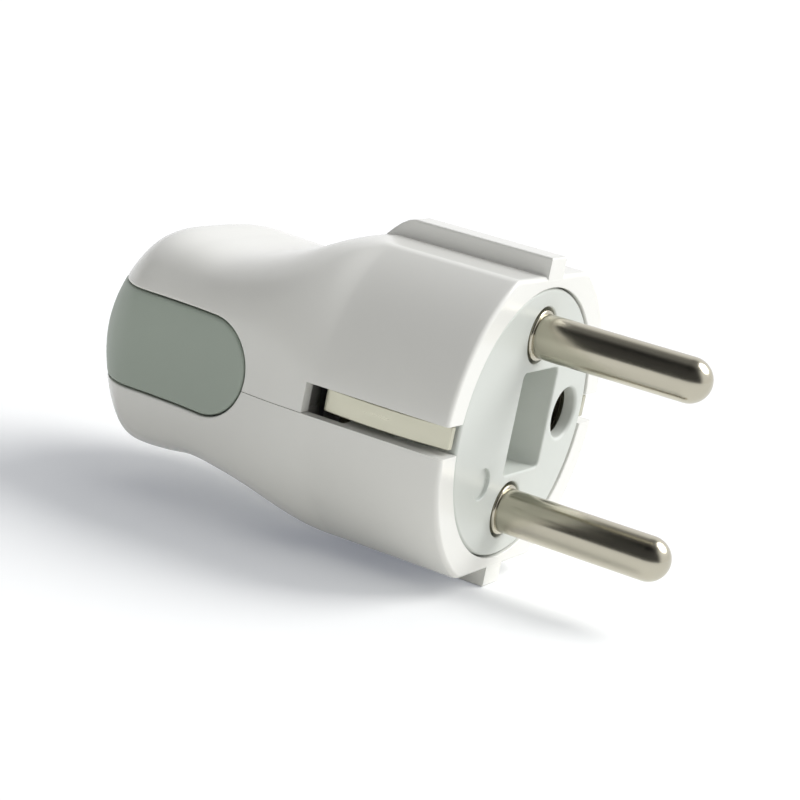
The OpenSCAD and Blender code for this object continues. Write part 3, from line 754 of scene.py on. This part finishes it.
def closed_by_strips(rings):
    """Points and faces from rings of a pad's outline, with the first one closed by strips across it."""
    points, faces = flared(rings)
    count = len(rings[0])
    faces.remove(tuple(range(count)))
    front = pad_arc_steps // 2
    rear = pad_arc_steps + pad_straight_steps
    faces += [(front, front + 1, front - 1), tuple(range(rear, rear + pad_rear_steps + 1))]
    return points, faces + [(i, i + 1, (2 * front - 1 - i) % count, (2 * front - i) % count)
                            for i in range(front + 1, rear)]


def rod_z(x, y, r, low, high, sides=64):
    """Points and faces of a closed rod along Z."""
    rings = [[(x + r * cos(2 * pi * k / sides), y + r * sin(2 * pi * k / sides), z) for k in range(sides)]
             for z in (low, high)]
    return flared(rings)


white_plastic = moulded("glossy_moulded_nylon_white", white_hex, 0.22, 0.9, 0.002)
collar_bore_r = 14.64 * mm
collar_bore_x = -7 * mm
collar_lip = 0.12 * mm
room_mm = [(-6, 0), (-6, 14.4), (-17.1, 14.4), (-19, 10), (-35.5, 9), (-35.5, 0)]
cavity_mm = [(-12.3, 0), (-12.3, 16.4), (-17.6, 16.4), (-17.6, 0)]
cavity_half = 4.1 * mm
rear_bore_r = 5.9 * mm
rear_bore_front = 34 * mm
rear_lip = 0.3 * mm
recess_r = 2.5 * mm
housing = body_blank(white_plastic)
for side in (1, -1):
    combine(housing, guide_rib(side, white_plastic), how="UNION")
combine(housing, mesh_piece("bore", *round_cutter((0, 0), collar_bore_r, 0, collar_bore_x, collar_lip, 192),
                            white_plastic))
combine(housing, mesh_piece("room", *revolve([(x * mm, r * mm) for x, r in room_mm], 96), white_plastic))
cavity = mesh_piece("cavity", *revolve([(x * mm, r * mm) for x, r in cavity_mm], 128), white_plastic)
combine(cavity, mesh_piece("band", *box_points((-outside, -outside, -cavity_half), (0, outside, cavity_half)),
                           white_plastic), how="INTERSECT")
combine(housing, cavity)
for side in (1, -1):
    combine(housing, mesh_piece("slot", *slot_cutter(side), white_plastic))
    combine(housing, mesh_piece("seat", *pad_seat_cutter(side), white_plastic))
rear_levels = [(-x, g) for x, g in lip_levels(body_len, rear_bore_front, rear_lip)]
rear_turns = [2 * pi * k / 96 for k in range(96)]
rear_bore = [[(x, (rear_bore_r + g) * cos(turn), (rear_bore_r + g) * sin(turn) - handle_drop)
              for turn in rear_turns] for x, g in rear_levels]
combine(housing, mesh_piece("bore", *flared(rear_bore), white_plastic))
front_screws = (-20.8 * mm, 8.2 * mm, -6.4 * mm)
rear_screws = (-39.05 * mm, 8.9 * mm, -6.2 * mm)
for x, y, z in (front_screws, rear_screws):
    for side in (1, -1):
        combine(housing, mesh_piece("recess", *rod_z(x, side * y, recess_r, -outside, z), white_plastic))


def half_shell(name, low, high):
    """One shell: the part of the housing between two heights."""
    half = housing.copy()
    half.data = housing.data.copy()
    half.name = name
    bpy.context.scene.collection.objects.link(half)
    band = mesh_piece("band", *box_points((-50 * mm, -outside, low), (2 * mm, outside, high)), white_plastic)
    return combine(half, band, how="INTERSECT")


for shell_name, low, high in (("housing_upper", seam_z + seam_gap / 2, outside),
                              ("housing_lower", -outside, seam_z - seam_gap / 2)):
    shell = finish_piece(half_shell(shell_name + "_moulding", low, high))
    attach(shell, "root")
    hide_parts(shell_name)
bpy.data.objects.remove(housing)

# Grip pads: soft grey thermoplastic rubber, moulded to the handle's shape and pressed into the seats on both
# sides. They lie flush with the shells, with a rounded edge and a narrow joint all round.
pad_edge = 0.3 * mm
pad_hex = "A9B4A9"


def grip_pad(name, side, material):
    """A pad whose outside follows the handle's side."""
    insets = [0.0] + [pad_edge * (1 - cos(pi / 2 * i / 5)) for i in range(1, 6)]
    insets += list(np.linspace(pad_edge * 2, pad_half - 0.6 * mm, 12))
    rings = []
    for inset in reversed(insets):
        past = max(pad_edge - inset, 0)
        drop = pad_edge - sqrt(max(pad_edge ** 2 - past ** 2, 0))
        rings.append([(-d, side * (side_surface(d / mm, z) - drop - 0.03 * mm), z) for d, z in pad_ring(inset)])
    floor = []
    for d, z in pad_ring(0):
        y = pad_floor if d < pad_step else pad_floor_rear
        floor.append((-d, side * min(y, side_surface(d / mm, z) - 0.45 * mm), z))
    rings.append(floor)
    return mesh_piece(name, *closed_by_strips(rings), material)


soft_grey = moulded("soft_touch_rubber_grey", pad_hex, 0.5, 0.25, 0.006)
for name, side in (("grip_pad_left", -1), ("grip_pad_right", 1)):
    pad = finish_piece(grip_pad(name + "_soft", side, soft_grey), 50)
    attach(pad, "root")
    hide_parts(name)

# Cord bush: a rubber sleeve in the cord entry, with a flange in a groove of the shells and a rounded mouth.
# The cord clamp inside is moulded in the carrier's grey nylon.
bush_r = 5.6 * mm
bush_flange_r = 7 * mm
cord_r = 4.1 * mm
bush_hex = "7D8181"
mouth = 0.5 * mm
bush_back = -46.4 * mm
bush_front = -37.8 * mm
bush_flange_front = -41.4 * mm
bush_flange_back = -43 * mm
bush_edge = 0.3 * mm
bush_profile = [(bush_front, cord_r), (bush_front, bush_r), (bush_flange_front, bush_r),
                (bush_flange_front, bush_flange_r), (bush_flange_back, bush_flange_r), (bush_flange_back, bush_r)]
bush_profile += arc(bush_back + bush_edge, bush_r - bush_edge, bush_edge, 90, 180, 5)
bush_profile += arc(bush_back + mouth, cord_r + mouth, mouth, 180, 270, 6)
bush_rubber = moulded("moulded_rubber_grey", bush_hex, 0.6, 0.3, 0.008)
bush = finish_piece(mesh_piece("cord_bush_sleeve", *revolve(bush_profile, 96, (0, -handle_drop)), bush_rubber))
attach(bush, "root")
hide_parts("cord_bush")
dress(["cord_clamp"], carrier_plastic)

# Housing and clamp screws: the same kind of screw, longer. Four come up from below, deep in the lower shell's
# recesses, and hold the shells together. Two hold the cord clamp down on its posts.
housing_head_r = 2.2 * mm
housing_head_len = 1.8 * mm
downwards = (radians(180), 0, 0)
upwards = (0, 0, 0)
clamp_place = (-31.19 * mm, 8.2 * mm, 0.375 * mm)
front_shank_len = 12.4 * mm
rear_shank_len = 12.2 * mm
clamp_shank_len = 7.4 * mm


def on_both_sides(place):
    """A place's mirror image on the -Y side, and the place itself on the +Y side."""
    return [(place[0], side * place[1], place[2]) for side in (-1, 1)]


screw_rows = {
    "housing_screws_front": (on_both_sides(front_screws), downwards, housing_head_len, front_shank_len),
    "housing_screws_rear": (on_both_sides(rear_screws), downwards, housing_head_len, rear_shank_len),
    "cord_clamp_screw_left": (on_both_sides(clamp_place)[:1], upwards, screw_head_len, clamp_shank_len),
    "cord_clamp_screw_right": (on_both_sides(clamp_place)[1:], upwards, screw_head_len, clamp_shank_len)}
for name, (places, turn, head_len, length) in screw_rows.items():
    screws = slotted_screws(name + "_zinc", places, turn, housing_head_r, head_len, length)
    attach(screws, "root")
    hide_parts(name)

# Studio: a wide white floor, one broad soft lamp from above on the right, a pale room that is darker overhead
# and towards the camera, and the camera.
floor_z = -17.9 * mm
floor_half = 8
paper_hex = "F4F4F1"
paper_glow_hex = "DFE6FA"
paper_glow = 0.2
camera_place = (0.09529, -0.216385, 0.053375)
camera_target = (-0.014494, -0.000639, -0.001525)
camera_roll = radians(11.51)
camera_lens = 104.59


def seen_directly(tree):
    """1 for what the camera sees, also in gloss or through glass, and 0 for light that spreads."""
    rays = node(tree, "ShaderNodeLightPath")
    seen = node(tree, "ShaderNodeMath", links={0: rays.outputs["Is Camera Ray"], 1: rays.outputs["Is Glossy Ray"]},
                operation="MAXIMUM")
    return node(tree, "ShaderNodeMath", links={0: seen.outputs[0], 1: rays.outputs["Is Transmission Ray"]},
                operation="MAXIMUM").outputs[0]


def studio_paper(name, colour_hex, glow_hex, glow):
    """Matt white paper that takes the plug's shadow and shows as plain white beside it."""
    made = bpy.data.materials.new(name)
    made.use_nodes = True
    tree = made.node_tree
    tree.nodes.clear()
    paper = node(tree, "ShaderNodeBsdfDiffuse", {"Color": linear(colour_hex)})
    level = node(tree, "ShaderNodeMath", {1: glow}, {0: seen_directly(tree)}, operation="MULTIPLY")
    lift = node(tree, "ShaderNodeEmission", {"Color": linear(glow_hex)}, {"Strength": level.outputs[0]})
    both = node(tree, "ShaderNodeAddShader", links={0: paper.outputs["BSDF"], 1: lift.outputs["Emission"]})
    node(tree, "ShaderNodeOutputMaterial", links={"Surface": both.outputs["Shader"]})
    return made


floor = mesh_piece("floor", [(-floor_half, -floor_half, floor_z), (floor_half, -floor_half, floor_z),
                             (floor_half, floor_half, floor_z), (-floor_half, floor_half, floor_z)],
                   [(0, 1, 2, 3)], studio_paper("white_paper", paper_hex, paper_glow_hex, paper_glow))

key_from = Vector((0.48, 0.52, 0.75))
key = bpy.data.lights.new("key", "SUN")
key.energy = 2.05
key.angle = radians(40)
key_holder = bpy.data.objects.new("key", key)
key_holder.rotation_euler = key_from.to_track_quat("Z", "Y").to_euler()
bpy.context.scene.collection.objects.link(key_holder)


def studio_room(name):
    """A pale room with its windows ahead of the pins and behind the plug.

    The camera sees plain white. Gloss sees the same white behind the plug, and a dark ceiling and camera side.
    """
    room = bpy.data.worlds.new(name)
    room.use_nodes = True
    tree = room.node_tree
    tree.nodes.clear()
    way = node(tree, "ShaderNodeTexCoord")
    towards = node(tree, "ShaderNodeVectorMath", {1: (0.8, 0.6, 0)}, {0: way.outputs["Generated"]},
                   operation="DOT_PRODUCT")
    level = node(tree, "ShaderNodeMapRange", {"From Min": -0.3, "From Max": 0.9, "To Min": 0.28, "To Max": 1.05},
                 {"Value": towards.outputs["Value"]}, interpolation_type="SMOOTHSTEP")
    parts = node(tree, "ShaderNodeSeparateXYZ", links={"Vector": way.outputs["Generated"]})
    behind = node(tree, "ShaderNodeMapRange", {"From Min": -0.35, "From Max": 0.1, "To Min": 0.06, "To Max": 1.0},
                  {"Value": parts.outputs["Y"]}, interpolation_type="SMOOTHSTEP")
    ceiling = node(tree, "ShaderNodeMapRange", {"From Min": 0.65, "From Max": 0.9, "To Min": 1.0, "To Max": 0.2},
                   {"Value": parts.outputs["Z"]}, interpolation_type="SMOOTHSTEP")
    gloss_level = node(tree, "ShaderNodeMath", links={0: behind.outputs["Result"], 1: ceiling.outputs["Result"]},
                       operation="MULTIPLY")
    rays = node(tree, "ShaderNodeLightPath")
    strength = node(tree, "ShaderNodeMix", links={0: rays.outputs["Is Glossy Ray"], 2: level.outputs["Result"],
                                                  3: gloss_level.outputs[0]}, data_type="FLOAT")
    walls = node(tree, "ShaderNodeBackground", {"Color": (1, 1, 1, 1)}, {"Strength": strength.outputs[0]})
    plain = node(tree, "ShaderNodeBackground", {"Color": (1, 1, 1, 1), "Strength": 1.0})
    seen = node(tree, "ShaderNodeMath", links={0: rays.outputs["Is Camera Ray"],
                                               1: rays.outputs["Is Transmission Ray"]}, operation="MAXIMUM")
    mixed = node(tree, "ShaderNodeMixShader", links={0: seen.outputs[0], 1: walls.outputs[0], 2: plain.outputs[0]})
    node(tree, "ShaderNodeOutputWorld", links={"Surface": mixed.outputs["Shader"]})
    return room


bpy.context.scene.world = studio_room("studio_room")

camera_data = bpy.data.cameras.new("camera")
camera_data.lens = camera_lens
camera_data.sensor_width = 36
camera_data.clip_start = 0.01
camera = bpy.data.objects.new("camera", camera_data)
look = (Vector(camera_target) - Vector(camera_place)).to_track_quat("-Z", "Y").to_matrix().to_4x4()
camera.matrix_world = Matrix.Translation(camera_place) @ look @ Matrix.Rotation(camera_roll, 4, "Z")
bpy.context.scene.collection.objects.link(camera)
bpy.context.scene.camera = camera
bpy.context.scene.view_settings.view_transform = "Standard"
